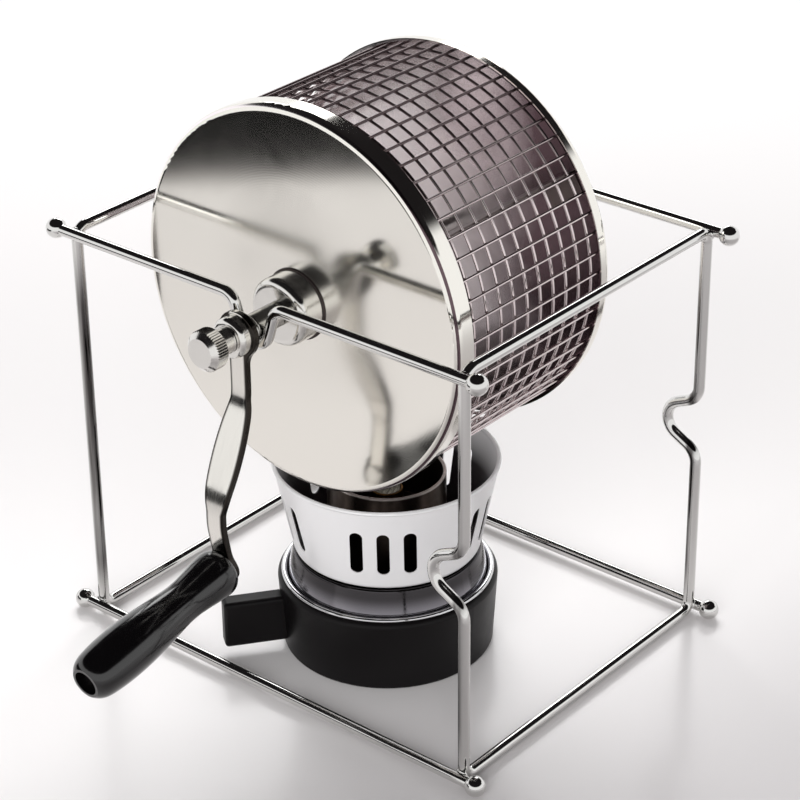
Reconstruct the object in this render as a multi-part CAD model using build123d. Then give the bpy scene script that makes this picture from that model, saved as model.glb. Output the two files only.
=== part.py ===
from build123d import *
import os
from math import cos, radians, sin, tan

# Hand-crank coffee roaster, in millimetres. +Z is up, the crank is on the -Y side, and the
# origin is on the table under the middle of the wire stand.

# Wire stand
WIRE_D = 4.0
BALL_D = 7.2
FOOT_FLAT = 0.2             # depth of the flat under each foot ball
STAND_WIDTH = 168.0         # between the middles of the two side loops
STAND_DEPTH = 131.0         # between the middles of a loop's two posts
STAND_HEIGHT = 150.5        # between the middles of a loop's lower and upper wires
LOOP_BEND_R = 4.0
WELD_SINK = 0.5             # how far a cross wire sinks into a loop where they are welded
WELD_ANGLE = 25.0           # where a cross wire sits on a loop's bend, in degrees
BALL_OUT = 7.0              # from the middle of a loop out to the middle of a ball
BALL_HOLE_END = 1.5         # from the middle of a ball back to the end of its wire
KINK_DEPTH = 21.6           # inward kink in the right loop's posts, to the unrounded corner
KINK_ABOVE = 11.1           # from half way up a post to the kink's upper corner
KINK_BELOW = 10.3           # from half way up a post to the kink's lower corner
KINK_TIP_RISE = 1.3         # from half way up a post to the kink's inner corner
KINK_BEND_R = 7.2
NOTCH_SLOPE = 18.0          # lean of the notch's sides, in degrees from upright
NOTCH_SHOULDER_R = 5.0

# Drum
AXIS_Z = 143.6
RUNNING_PLAY = 0.05         # radial play of a turning fit
DRUM_D = 136.0
DRUM_FRONT = -48.0          # outer face of the front cap
DRUM_REAR = 32.7            # outer face of the rear cap
CAP_SHEET = 1.0
CAP_EDGE_R = 2.5
FRONT_BAND = 7.5            # width of the front cap's rim band
REAR_BAND = 5.2             # width of the rear cap's rim band
MESH_WIRE_D = 1.0
MESH_GAP = 0.3              # between the mesh and the front cap
BAR_COUNT = 60
BAR_FIRST_ANGLE = 3.6       # from straight up towards +X, in degrees
HOOP_COUNT = 10
HOOP_FIRST = -36.8
HOOP_PITCH = 6.91
HUB_D = 23.8
HUB_LENGTH = 10.0
HUB_EDGE = 2.8
VANE_COUNT = 2
VANE_FIRST_ANGLE = 57.0     # from straight up towards +X, in degrees
VANE_SHEET = 0.8
VANE_HEIGHT = 17.0
VANE_FOOT = 8.0             # bent foot against the rear cap
VANE_FRONT_GAP = 5.0
VANE_CORNER = 12.0          # slanted cut on the free front corner

# Shaft and its bearings
SHAFT_D = 6.0
SHAFT_REAR = 81.0
SHAFT_FLATS = 5.2           # across the two flats that drive the crank
SHOULDER_D = 10.0           # shoulder that the crank is clamped against
SHOULDER_LENGTH = 3.5
SHAFT_EDGE = 0.6
BUSH_D = 8.4
BUSH_LENGTH = 12.2
BUSH_EDGE = 0.5
BUSH_GAP = 0.3              # between the front hub and the front bush
STOP_COLLAR_D = 11.0
STOP_COLLAR_LENGTH = 4.0
STOP_COLLAR_EDGE = 0.6
STOP_COLLAR_GAP = 0.5

# Crank
ARM_SHEET = 2.5
ARM_EDGE = 0.5
ARM_WIDTH = 7.2
ARM_SWELL = 11.8            # width half way between the arm's two bends
ARM_SWELL_LENGTH = 46.0
ARM_BACK = -74.5            # back face of the arm at the shaft
ARM_EYE_D = 16.0
ARM_END_D = 11.0
ARM_BLEND_R = 8.0           # where the strip widens
ARM_STRAIGHT = 24.0         # from the shaft down to the first bend
ARM_BOW = 15.6              # how far the arm bows out to the front
ARM_BOW_DROP = 59.0         # from the shaft down to the bow
ARM_BEND_RADII = (25.0, 30.0)
CRANK_RADIUS = 81.8         # from the shaft down to the grip's pivot
GRIP_TILT = 10.5            # droop of the grip, in degrees
COLLAR_D = 14.0
COLLAR_LENGTH = 4.5
COLLAR_EDGE = 2.0
SCREW_HEAD_D = 14.0
SCREW_HEAD_LENGTH = 8.0
SCREW_HEAD_EDGE = 2.0
SCREW_NECK_D = 9.0
SCREW_NECK_LENGTH = 4.3
SCREW_STUD_D = 4.0
SCREW_STUD_LENGTH = 6.2     # into the shaft's end
SCREW_BORE_DEPTH = 7.0
SCREW_GAP = 0.2
KNURL_COUNT = 48
KNURL_DEPTH = 0.4

# Grip: radius at each distance from its arm end
GRIP_LENGTH = 65.0
GRIP_GAP = 0.3
GRIP_SHAPE = (
    (7.8, 1.0), (8.2, 6.0), (6.9, 19.0), (7.4, 26.5),
    (8.7, 39.0), (9.0, 50.0), (8.5, 58.0), (7.4, 62.6),
)
GRIP_ROOT_R = 7.1
GRIP_TIP_R = 5.4
GRIP_RECESS_R = 4.4
GRIP_RECESS_DEPTH = 8.0
PIN_D = 4.0
PIN_HEAD_D = 6.2
PIN_HEAD_LENGTH = 2.6
PIN_HEAD_EDGE = 0.8
PEENED_D = 7.0              # end of the pin, hammered over behind the arm
PEENED_LENGTH = 1.2
PEENED_EDGE = 0.9

# Spirit burner standing under the drum
BURNER_X = 6.0
BURNER_Y = -11.0
BASE_BOTTOM_R = 37.6
BASE_TOP_R = 39.3
BASE_HEIGHT = 28.0
BASE_FLOOR = 3.0
BASE_FOOT_EDGE = 1.0
BASE_TOP_EDGE = 2.4
TANK_R = 35.5
TANK_NECK_R = 33.3          # top of the tank's sloping shoulder
TANK_TOP = 38.0
TANK_SHEET = 0.8
TANK_EDGE_R = 1.2
TANK_GAP = 0.3
BEZEL_R = 36.9
BEZEL_WIRE_R = 1.0
TAB_ANGLE = 233.0           # direction of the finger tab, in degrees from +X
TAB_REACH = 60.0            # from the burner's middle to the tab's end
TAB_WIDTH = 7.0
TAB_BOTTOM = 4.0
TAB_TOP = 22.0
TAB_EDGE = 1.4
SHIELD_BOTTOM_R = 32.9
SHIELD_TOP_R = 39.7
SHIELD_TOP = 72.6
SHIELD_SHEET = 0.8
SHIELD_FOOT_R = 2.4
SHIELD_HEM_R = 0.8
SHIELD_FLANGE_R = 24.0
SLOT_GROUPS = 5
SLOTS_IN_GROUP = 3
SLOT_FIRST_ANGLE = 308.0    # middle of the front group, in degrees from +X
SLOT_PITCH = 9.2            # between the slots of a group, which are punched side by side
SLOT_WIDTH = 4.4
SLOT_BOTTOM = 45.0
SLOT_TOP = 63.0
CUP_R = 21.0
CUP_SHEET = 1.2
CUP_TOP = 67.0
CUP_FLOOR = 46.0
CUP_SPIGOT = 4.0
CUP_LIP_R = 0.5
WICK_R = 5.0
WICK_TUBE_SHEET = 0.8
WICK_TUBE_LIP_R = 0.3
WICK_TUBE_BOTTOM = 40.0
WICK_TUBE_TOP = 60.0
WICK_TUBE_FLANGE_R = 9.0
WICK_TUBE_FLANGE = 1.0
WICK_BOTTOM = 6.0
WICK_TOP = 63.5
WICK_EDGE = 1.5

# Places worked out from the sizes above
WELD_REACH = LOOP_BEND_R + WIRE_D - WELD_SINK
WELD_RISE = LOOP_BEND_R - WELD_REACH * sin(radians(WELD_ANGLE))
LOOP_X = STAND_WIDTH / 2
POST_Y = STAND_DEPTH / 2
CROSS_Y = POST_Y - LOOP_BEND_R + WELD_REACH * cos(radians(WELD_ANGLE))
CROSS_LOW = BALL_D / 2 - FOOT_FLAT
LOOP_LOW = CROSS_LOW - WELD_RISE
LOOP_TOP = LOOP_LOW + STAND_HEIGHT
CROSS_TOP = LOOP_TOP - WELD_RISE
BALL_X = LOOP_X + BALL_OUT
CROSS_END = BALL_X - BALL_HOLE_END
SHAFT_R = SHAFT_D / 2
CAP_INNER_R = DRUM_D / 2 - CAP_SHEET
BAR_R = CAP_INNER_R - MESH_GAP - MESH_WIRE_D / 2
HOOP_R = BAR_R - MESH_WIRE_D
BAR_FRONT = DRUM_FRONT + CAP_SHEET + MESH_GAP
BAR_REAR = DRUM_REAR - CAP_SHEET
ARM_FRONT = ARM_BACK - ARM_SHEET
COLLAR_FRONT = ARM_FRONT - COLLAR_LENGTH
GRIP_LEAN = (sin(radians(GRIP_TILT)), cos(radians(GRIP_TILT)))
PIVOT_Y = (ARM_BACK + ARM_FRONT) / 2 - ARM_BOW + (CRANK_RADIUS - ARM_BOW_DROP) * tan(radians(GRIP_TILT))
PIVOT_Z = AXIS_Z - CRANK_RADIUS


def tube(path, diameter):
    """Round wire along a path."""
    section = Plane(origin=path @ 0, z_dir=path % 0) * Circle(diameter / 2)
    return sweep(section, path=path)


def rod(radius, y_from, y_to, x=0.0, z=AXIS_Z):
    """Round bar parallel to the drum's axis."""
    return Pos(x, (y_from + y_to) / 2, z) * Rot(90, 0, 0) * Cylinder(radius, y_to - y_from)


def profile(outline, edges):
    """Face inside a closed outline, with the corners named in edges rounded."""
    face = make_face(Polyline(*outline, close=True))
    for corner, radius in edges:
        face = fillet(face.vertices().sort_by_distance(corner)[0], radius)
    return face


def turned(outline, edges=()):
    """Solid of revolution about the drum's axis from (radius, y) points."""
    return Pos(0, 0, AXIS_Z) * revolve(profile(outline, edges), Axis.Y)


def burner_turned(outline, edges=()):
    """Solid of revolution about the burner's upright axis from (radius, z) points."""
    return Pos(BURNER_X, BURNER_Y, 0) * revolve(Plane.XZ * profile(outline, edges), Axis.Z)


def at_grip(solid):
    """Places a solid made along +Y on the grip's axis, counted outwards from the arm's middle."""
    lean, level = GRIP_LEAN
    plane = Plane(origin=(0, PIVOT_Y, PIVOT_Z), x_dir=(1, 0, 0), z_dir=(0, lean, -level))
    return plane.location * solid


def straight_cross_wire(y, z):
    """Bottom cross wire."""
    return Pos(0, y, z) * Rot(0, 90, 0) * Cylinder(WIRE_D / 2, 2 * CROSS_END)


def notched_cross_wire(y):
    """Top cross wire with a notch in its middle that is concentric with the bush lying in it."""
    radius = BUSH_D / 2 + RUNNING_PLAY + WIRE_D / 2
    slope = radians(NOTCH_SLOPE)
    corner_z = AXIS_Z - radius / sin(slope)
    shoulder_x = (CROSS_TOP - corner_z) * tan(slope)
    path = FilletPolyline(
        (-CROSS_END, y, CROSS_TOP),
        (-shoulder_x, y, CROSS_TOP),
        (0, y, corner_z),
        (shoulder_x, y, CROSS_TOP),
        (CROSS_END, y, CROSS_TOP),
        radius=(NOTCH_SHOULDER_R, radius, NOTCH_SHOULDER_R),
    )
    return tube(path, WIRE_D)


def side_loop(x, kink):
    """Closed side loop; a kink above 0 bends both posts inwards half way up."""
    middle = (LOOP_LOW + LOOP_TOP) / 2
    points = []
    radii = []
    for y, way in ((-POST_Y, 1), (POST_Y, -1)):
        first, last = (LOOP_LOW, LOOP_TOP) if way > 0 else (LOOP_TOP, LOOP_LOW)
        points.append((x, y, first))
        radii.append(LOOP_BEND_R)
        if kink:
            corners = [
                (x, y, middle - KINK_BELOW),
                (x - kink, y, middle + KINK_TIP_RISE),
                (x, y, middle + KINK_ABOVE),
            ]
            points += corners[::way]
            radii += [KINK_BEND_R] * len(corners)
        points.append((x, y, last))
        radii.append(LOOP_BEND_R)
    return tube(FilletPolyline(*points, radius=radii, close=True), WIRE_D)


def balls(z, wires):
    """Four ball ends at one height, each bored for its wire; those on the table are flat below."""
    group = []
    for y, wire in zip((-CROSS_Y, CROSS_Y), wires):
        for x in (-BALL_X, BALL_X):
            ball = Pos(x, y, z) * Rot(0, -90, 0) * Sphere(BALL_D / 2) - wire
            if z < BALL_D / 2:
                below = Pos(x, y, -BALL_D / 2) * Box(BALL_D, BALL_D, BALL_D)
                ball -= below
            group.append(ball.solid())
    return Compound(children=group)


def stand():
    """Wire stand: two side loops, four cross wires and the ball ends."""
    front_top = notched_cross_wire(-CROSS_Y)
    rear_top = notched_cross_wire(CROSS_Y)
    front_bottom = straight_cross_wire(-CROSS_Y, CROSS_LOW)
    rear_bottom = straight_cross_wire(CROSS_Y, CROSS_LOW)
    left = side_loop(-LOOP_X, 0)
    right = side_loop(LOOP_X, KINK_DEPTH)
    for wire in (front_top, rear_top, front_bottom, rear_bottom):
        left -= wire
        right -= wire
    return {
        "left_side_loop": left,
        "right_side_loop": right,
        "front_top_wire": front_top,
        "rear_top_wire": rear_top,
        "front_bottom_wire": front_bottom,
        "rear_bottom_wire": rear_bottom,
        "top_ball_ends": balls(CROSS_TOP, (front_top, rear_top)),
        "foot_balls": balls(CROSS_LOW, (front_bottom, rear_bottom)),
    }


def end_cap(face_y, band):
    """Stamped end cap with a rounded edge and a rim band; a negative band points to the front."""
    outer = DRUM_D / 2
    inner_y = face_y + (CAP_SHEET if band > 0 else -CAP_SHEET)
    band_y = face_y + band
    outline = (
        (SHAFT_R, face_y),
        (outer, face_y),
        (outer, band_y),
        (CAP_INNER_R, band_y),
        (CAP_INNER_R, inner_y),
        (SHAFT_R, inner_y),
    )
    return turned(outline, (((outer, face_y), CAP_EDGE_R),))


def hub(face_y, outward):
    """Turned boss on an end cap; outward is -1 at the front, +1 at the rear."""
    end_y = face_y + outward * HUB_LENGTH
    outline = ((SHAFT_R, face_y), (HUB_D / 2, face_y), (HUB_D / 2, end_y), (SHAFT_R, end_y))
    return turned(outline, (((HUB_D / 2, end_y), HUB_EDGE),))


def mesh_bars():
    """Straight mesh wires, butted against the rear cap and free of the front one."""
    group = []
    for i in range(BAR_COUNT):
        angle = radians(BAR_FIRST_ANGLE + 360 * i / BAR_COUNT)
        bar = rod(MESH_WIRE_D / 2, BAR_FRONT, BAR_REAR, BAR_R * sin(angle), AXIS_Z + BAR_R * cos(angle))
        group.append(bar.solid())
    return Compound(children=group)


def mesh_hoops():
    """Round mesh wires lying inside the straight ones."""
    group = []
    for i in range(HOOP_COUNT):
        y = HOOP_FIRST + HOOP_PITCH * i
        hoop = Pos(0, y, AXIS_Z) * Rot(90, 0, 0) * Torus(HOOP_R, MESH_WIRE_D / 2)
        group.append(hoop.solid())
    return Compound(children=group)


def stirring_vane():
    """Sheet vane standing up from the hoops, with its foot on the rear cap; made pointing up."""
    outer = HOOP_R - MESH_WIRE_D / 2
    inner = outer - VANE_HEIGHT
    front = DRUM_FRONT + CAP_SHEET + VANE_FRONT_GAP
    outline = Polyline(
        (front, outer),
        (BAR_REAR, outer),
        (BAR_REAR, inner),
        (front + VANE_CORNER, inner),
        (front, inner + VANE_CORNER),
        close=True,
    )
    blade = extrude(Plane.YZ * make_face(outline), VANE_SHEET / 2, both=True)
    foot_x = (VANE_SHEET + VANE_FOOT) / 2
    foot = Pos(foot_x, BAR_REAR - VANE_SHEET / 2, inner + VANE_HEIGHT / 2 - VANE_SHEET)
    return blade + foot * Box(VANE_FOOT, VANE_SHEET, VANE_HEIGHT - 2 * VANE_SHEET)


def stirring_vanes():
    """Vanes evenly round the inside of the drum."""
    group = []
    for i in range(VANE_COUNT):
        angle = VANE_FIRST_ANGLE + 360 * i / VANE_COUNT
        group.append((Pos(0, 0, AXIS_Z) * Rot(0, angle, 0) * stirring_vane()).solid())
    return Compound(children=group)


def shaft_end():
    """Flattened front end of the shaft, which drives the crank arm."""
    middle_y = (ARM_BACK + ARM_FRONT) / 2
    return rod(SHAFT_R, ARM_FRONT, ARM_BACK) & Pos(0, middle_y, AXIS_Z) * Box(SHAFT_FLATS, SHAFT_D, SHAFT_D)


def shaft():
    """Drum shaft with a shoulder behind the crank, bored at the front for the thumb screw."""
    shoulder_r = SHOULDER_D / 2
    shoulder_end = ARM_BACK + SHOULDER_LENGTH
    outline = (
        (0, ARM_BACK),
        (shoulder_r, ARM_BACK),
        (shoulder_r, shoulder_end),
        (SHAFT_R, shoulder_end),
        (SHAFT_R, SHAFT_REAR),
        (0, SHAFT_REAR),
    )
    edges = (((shoulder_r, shoulder_end), SHAFT_EDGE), ((SHAFT_R, SHAFT_REAR), SHAFT_EDGE))
    bar = turned(outline, edges) + shaft_end()
    return bar - rod(SCREW_STUD_D / 2 + RUNNING_PLAY, ARM_FRONT, ARM_FRONT + SCREW_BORE_DEPTH)


def sleeve(bore, outer, y_from, length, edge):
    """Turned ring on the drum's axis, with both of its outer edges rounded."""
    y_to = y_from + length
    outline = ((bore, y_from), (outer, y_from), (outer, y_to), (bore, y_to))
    return turned(outline, (((outer, y_from), edge), ((outer, y_to), edge)))


def bush(y_from):
    """Plain sleeve that lies in a notch while the shaft turns in it."""
    return sleeve(SHAFT_R + RUNNING_PLAY, BUSH_D / 2, y_from, BUSH_LENGTH, BUSH_EDGE)


def shaft_stop_collar():
    """Collar that keeps the shaft's rear end from sliding out of its bush."""
    y_from = CROSS_Y + BUSH_LENGTH / 2 + STOP_COLLAR_GAP
    return sleeve(SHAFT_R, STOP_COLLAR_D / 2, y_from, STOP_COLLAR_LENGTH, STOP_COLLAR_EDGE)


def crank_arm():
    """Flat strip with an eye at each end, wider between its two bends and leaning back at the grip."""
    middle_y = (ARM_BACK + ARM_FRONT) / 2
    bow = (0, middle_y - ARM_BOW, AXIS_Z - ARM_BOW_DROP)
    lean, level = GRIP_LEAN
    tail = (CRANK_RADIUS - ARM_BOW_DROP) / level + ARM_END_D
    path = FilletPolyline(
        (0, middle_y, AXIS_Z + ARM_EYE_D),
        (0, middle_y, AXIS_Z - ARM_STRAIGHT),
        bow,
        (0, bow[1] + tail * lean, bow[2] - tail * level),
        radius=ARM_BEND_RADII,
    )
    strip = sweep(Pos(path @ 0) * Rectangle(ARM_EYE_D, ARM_SHEET), path=path)
    outline = Pos(0, AXIS_Z) * Circle(ARM_EYE_D / 2) + Pos(0, PIVOT_Z) * Circle(ARM_END_D / 2)
    outline += Pos(0, AXIS_Z - CRANK_RADIUS / 2) * Rectangle(ARM_WIDTH, CRANK_RADIUS)
    swell_z = AXIS_Z - (ARM_STRAIGHT + ARM_BOW_DROP) / 2
    outline += Pos(0, swell_z) * Ellipse(ARM_SWELL / 2, ARM_SWELL_LENGTH / 2)
    outline = fillet(outline.vertices(), ARM_BLEND_R)
    arm = strip & extrude(Plane.XZ * outline, -2 * ARM_FRONT)
    arm = fillet(arm.edges(), ARM_EDGE)
    return arm - shaft_end() - at_grip(Rot(90, 0, 0) * Cylinder(PIN_D / 2, ARM_END_D))


def crank_collar():
    """Round collar between the arm and the thumb screw."""
    bore = SCREW_STUD_D / 2 + 2 * RUNNING_PLAY
    outer = COLLAR_D / 2
    outline = ((bore, ARM_FRONT), (outer, ARM_FRONT), (outer, COLLAR_FRONT), (bore, COLLAR_FRONT))
    return turned(outline, (((outer, COLLAR_FRONT), COLLAR_EDGE),))


def thumb_screw():
    """Knurled screw: stud in the shaft's end, neck, and a head with straight knurls."""
    neck_y = COLLAR_FRONT - SCREW_GAP
    head_y = neck_y - SCREW_NECK_LENGTH
    face_y = head_y - SCREW_HEAD_LENGTH
    points = []
    for i in range(2 * KNURL_COUNT):
        angle = radians(180 * i / KNURL_COUNT)
        radius = SCREW_HEAD_D / 2 - KNURL_DEPTH * (i % 2)
        points.append((radius * cos(angle), radius * sin(angle)))
    knurls = extrude(make_face(Polyline(*points, close=True)), SCREW_HEAD_LENGTH)
    knurls = Pos(0, head_y, AXIS_Z) * Rot(90, 0, 0) * knurls
    outer = SCREW_HEAD_D / 2
    inner = outer - SCREW_HEAD_EDGE
    blank = turned((
        (0, face_y),
        (inner, face_y),
        (outer, face_y + SCREW_HEAD_EDGE),
        (outer, head_y - SCREW_HEAD_EDGE),
        (inner, head_y),
        (0, head_y),
    ))
    neck = rod(SCREW_NECK_D / 2, head_y, neck_y)
    stud = rod(SCREW_STUD_D / 2, neck_y, ARM_FRONT + SCREW_STUD_LENGTH)
    return (knurls & blank) + neck + stud


def grip():
    """Turned grip: flared at the arm, drawn in to a neck, fat in the hand, with a recess in its end."""
    root = (PIN_D / 2 + RUNNING_PLAY, 0)
    curve = Spline((GRIP_ROOT_R, 0), *GRIP_SHAPE, (GRIP_TIP_R, GRIP_LENGTH))
    edge = Polyline((GRIP_TIP_R, GRIP_LENGTH), (root[0], GRIP_LENGTH), root, (GRIP_ROOT_R, 0))
    body = revolve(make_face(curve + edge), Axis.Y)
    recess_y = GRIP_LENGTH - GRIP_RECESS_DEPTH / 2
    recess = Pos(0, recess_y, 0) * Rot(90, 0, 0) * Cylinder(GRIP_RECESS_R, GRIP_RECESS_DEPTH)
    return at_grip(Pos(0, ARM_SHEET / 2 + GRIP_GAP, 0) * (body - recess))


def grip_pin():
    """Pin hammered over behind the arm, with its head down in the grip's recess."""
    arm_y = -ARM_SHEET / 2
    end_y = arm_y - PEENED_LENGTH
    head_y = ARM_SHEET / 2 + GRIP_GAP + GRIP_LENGTH - GRIP_RECESS_DEPTH + RUNNING_PLAY
    tip_y = head_y + PIN_HEAD_LENGTH
    outline = (
        (0, end_y),
        (PEENED_D / 2, end_y),
        (PEENED_D / 2, arm_y),
        (PIN_D / 2, arm_y),
        (PIN_D / 2, head_y),
        (PIN_HEAD_D / 2, head_y),
        (PIN_HEAD_D / 2, tip_y),
        (0, tip_y),
    )
    edges = (((PEENED_D / 2, end_y), PEENED_EDGE), ((PIN_HEAD_D / 2, tip_y), PIN_HEAD_EDGE))
    return at_grip(revolve(profile(outline, edges), Axis.Y))


def burner_base():
    """Moulded base: a cup that holds the tank, with a finger tab on its side."""
    bore = TANK_R + TANK_GAP
    outline = (
        (0, 0),
        (BASE_BOTTOM_R, 0),
        (BASE_TOP_R, BASE_HEIGHT),
        (bore, BASE_HEIGHT),
        (bore, BASE_FLOOR),
        (0, BASE_FLOOR),
    )
    edges = (((BASE_BOTTOM_R, 0), BASE_FOOT_EDGE), ((BASE_TOP_R, BASE_HEIGHT), BASE_TOP_EDGE))
    cup = burner_turned(outline, edges)
    root = (bore + BASE_BOTTOM_R) / 2
    height = TAB_TOP - TAB_BOTTOM
    tab = Box(TAB_REACH - root, TAB_WIDTH, height)
    free_edges = tab.edges() - tab.faces().sort_by(Axis.X)[0].edges()
    tab = Pos((root + TAB_REACH) / 2, 0, TAB_BOTTOM + height / 2) * fillet(free_edges, TAB_EDGE)
    return cup + Pos(BURNER_X, BURNER_Y, 0) * Rot(0, 0, TAB_ANGLE) * tab


def burner_bezel():
    """Half-round bright ring on the base's rim."""
    ring = Pos(BEZEL_R, BASE_HEIGHT) * Circle(BEZEL_WIRE_R)
    upper = Pos(BEZEL_R, BASE_HEIGHT + BEZEL_WIRE_R) * Rectangle(4 * BEZEL_WIRE_R, 2 * BEZEL_WIRE_R)
    return Pos(BURNER_X, BURNER_Y, 0) * revolve(Plane.XZ * (ring & upper), Axis.Z)


def fuel_tank():
    """Sheet-metal tank with a sloping shoulder above the base and a mouth for the burner cup."""
    mouth = CUP_R - CUP_SHEET
    inner_r = TANK_R - TANK_SHEET
    outline = (
        (0, BASE_FLOOR),
        (TANK_R, BASE_FLOOR),
        (TANK_R, BASE_HEIGHT),
        (TANK_NECK_R, TANK_TOP),
        (mouth, TANK_TOP),
        (mouth, TANK_TOP - TANK_SHEET),
        (TANK_NECK_R - TANK_SHEET, TANK_TOP - TANK_SHEET),
        (inner_r, BASE_HEIGHT),
        (inner_r, BASE_FLOOR + TANK_SHEET),
        (0, BASE_FLOOR + TANK_SHEET),
    )
    return burner_turned(outline, (((TANK_NECK_R, TANK_TOP), TANK_EDGE_R),))


def burner_cup():
    """Steel cup that plugs into the tank's mouth and holds the wick tube."""
    inner = CUP_R - CUP_SHEET
    outline = (
        (inner, TANK_TOP - CUP_SPIGOT),
        (inner, TANK_TOP),
        (CUP_R, TANK_TOP),
        (CUP_R, CUP_TOP),
        (inner, CUP_TOP),
        (inner, CUP_FLOOR + CUP_SHEET),
        (WICK_R + WICK_TUBE_SHEET, CUP_FLOOR + CUP_SHEET),
        (WICK_R + WICK_TUBE_SHEET, CUP_FLOOR),
        (inner - CUP_SHEET, CUP_FLOOR),
        (inner - CUP_SHEET, TANK_TOP - CUP_SPIGOT),
    )
    return burner_turned(outline, (((CUP_R, CUP_TOP), CUP_LIP_R), ((inner, CUP_TOP), CUP_LIP_R)))


def wick_tube():
    """Brass tube with a flange that stands on the cup's floor."""
    outer = WICK_R + WICK_TUBE_SHEET
    seat = CUP_FLOOR + CUP_SHEET
    outline = (
        (WICK_R, WICK_TUBE_BOTTOM),
        (outer, WICK_TUBE_BOTTOM),
        (outer, seat),
        (WICK_TUBE_FLANGE_R, seat),
        (WICK_TUBE_FLANGE_R, seat + WICK_TUBE_FLANGE),
        (outer, seat + WICK_TUBE_FLANGE),
        (outer, WICK_TUBE_TOP),
        (WICK_R, WICK_TUBE_TOP),
    )
    lip = ((outer, WICK_TUBE_TOP), (WICK_R, WICK_TUBE_TOP))
    return burner_turned(outline, [(corner, WICK_TUBE_LIP_R) for corner in lip])


def wick():
    """Cotton wick from the tank up through its tube."""
    outline = ((0, WICK_BOTTOM), (WICK_R, WICK_BOTTOM), (WICK_R, WICK_TOP), (0, WICK_TOP))
    return burner_turned(outline, (((WICK_R, WICK_TOP), WICK_EDGE),))


def windshield():
    """Slotted cone with a flange on the tank's top and a rolled hem round its upper edge."""
    hem_z = SHIELD_TOP - SHIELD_HEM_R
    inner_foot = (SHIELD_BOTTOM_R - SHIELD_SHEET, TANK_TOP + SHIELD_SHEET)
    cone = burner_turned((
        (SHIELD_FLANGE_R, TANK_TOP),
        (SHIELD_BOTTOM_R, TANK_TOP),
        (SHIELD_TOP_R, hem_z),
        (SHIELD_TOP_R - SHIELD_SHEET, hem_z),
        inner_foot,
        (SHIELD_FLANGE_R, TANK_TOP + SHIELD_SHEET),
    ), (((SHIELD_BOTTOM_R, TANK_TOP), SHIELD_FOOT_R), (inner_foot, SHIELD_FOOT_R - SHIELD_SHEET)))
    hem = Pos(BURNER_X, BURNER_Y, hem_z) * Torus(SHIELD_TOP_R - SHIELD_SHEET / 2, SHIELD_HEM_R)
    height = SLOT_TOP - SLOT_BOTTOM
    slot = extrude(Plane.YZ * SlotOverall(height, SLOT_WIDTH, rotation=90), 2 * SHIELD_TOP_R)
    slot = Pos(SHIELD_FLANGE_R, 0, SLOT_BOTTOM + height / 2) * slot
    cutters = []
    for group in range(SLOT_GROUPS):
        turn = Rot(0, 0, SLOT_FIRST_ANGLE + 360 * group / SLOT_GROUPS)
        for i in range(SLOTS_IN_GROUP):
            offset = SLOT_PITCH * (i - (SLOTS_IN_GROUP - 1) / 2)
            cutters.append(Pos(BURNER_X, BURNER_Y, 0) * turn * Pos(0, offset, 0) * slot)
    return cone + hem - cutters


def drum():
    """Mesh drum with its caps, hubs and vanes, on its shaft."""
    return {
        "front_end_cap": end_cap(DRUM_FRONT, FRONT_BAND),
        "rear_end_cap": end_cap(DRUM_REAR, -REAR_BAND),
        "mesh_bars": mesh_bars(),
        "mesh_hoops": mesh_hoops(),
        "stirring_vanes": stirring_vanes(),
        "front_hub": hub(DRUM_FRONT, -1),
        "rear_hub": hub(DRUM_REAR, 1),
        "shaft": shaft(),
        "shaft_stop_collar": shaft_stop_collar(),
        "front_bush": bush(DRUM_FRONT - HUB_LENGTH - BUSH_GAP - BUSH_LENGTH),
        "rear_bush": bush(CROSS_Y - BUSH_LENGTH / 2),
    }


def crank():
    """Crank with its thumb screw and grip."""
    return {
        "crank_arm": crank_arm(),
        "crank_collar": crank_collar(),
        "thumb_screw": thumb_screw(),
        "grip": grip(),
        "grip_pin": grip_pin(),
    }


def burner():
    """Spirit burner."""
    return {
        "burner_base": burner_base(),
        "burner_bezel": burner_bezel(),
        "fuel_tank": fuel_tank(),
        "burner_cup": burner_cup(),
        "wick_tube": wick_tube(),
        "wick": wick(),
        "windshield": windshield(),
    }


os.makedirs("parts", exist_ok=True)
for name, shape in {**stand(), **drum(), **crank(), **burner()}.items():
    export_step(shape, f"parts/{name}.step")
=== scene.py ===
import random
from math import cos, pi, radians, sin

import bmesh
import bpy
from bpy.props import FloatProperty, FloatVectorProperty, IntProperty, PointerProperty
from mathutils import Matrix, Vector


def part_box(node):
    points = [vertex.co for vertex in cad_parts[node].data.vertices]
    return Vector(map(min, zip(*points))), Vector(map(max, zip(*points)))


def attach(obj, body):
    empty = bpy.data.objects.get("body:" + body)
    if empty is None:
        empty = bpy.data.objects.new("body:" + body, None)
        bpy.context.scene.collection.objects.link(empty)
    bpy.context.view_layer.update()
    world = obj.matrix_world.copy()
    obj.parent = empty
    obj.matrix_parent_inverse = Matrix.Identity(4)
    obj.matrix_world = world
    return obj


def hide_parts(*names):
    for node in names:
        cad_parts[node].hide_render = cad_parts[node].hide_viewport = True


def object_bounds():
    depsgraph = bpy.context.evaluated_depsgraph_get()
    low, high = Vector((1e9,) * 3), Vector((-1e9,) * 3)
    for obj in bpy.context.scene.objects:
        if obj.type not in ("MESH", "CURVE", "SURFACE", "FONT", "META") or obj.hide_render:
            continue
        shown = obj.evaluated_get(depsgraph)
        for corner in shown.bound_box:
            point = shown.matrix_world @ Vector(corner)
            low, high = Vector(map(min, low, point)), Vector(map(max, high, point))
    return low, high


bl_info = {
    "name": "Hand-crank coffee roaster",
    "version": (1, 0, 0),
    "blender": (4, 5, 0),
    "location": "3D View > Sidebar > Roaster",
    "description": "Finishes a mesh-drum coffee roaster with its spirit burner and sets it on a studio floor",
    "category": "Object",
}

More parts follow.
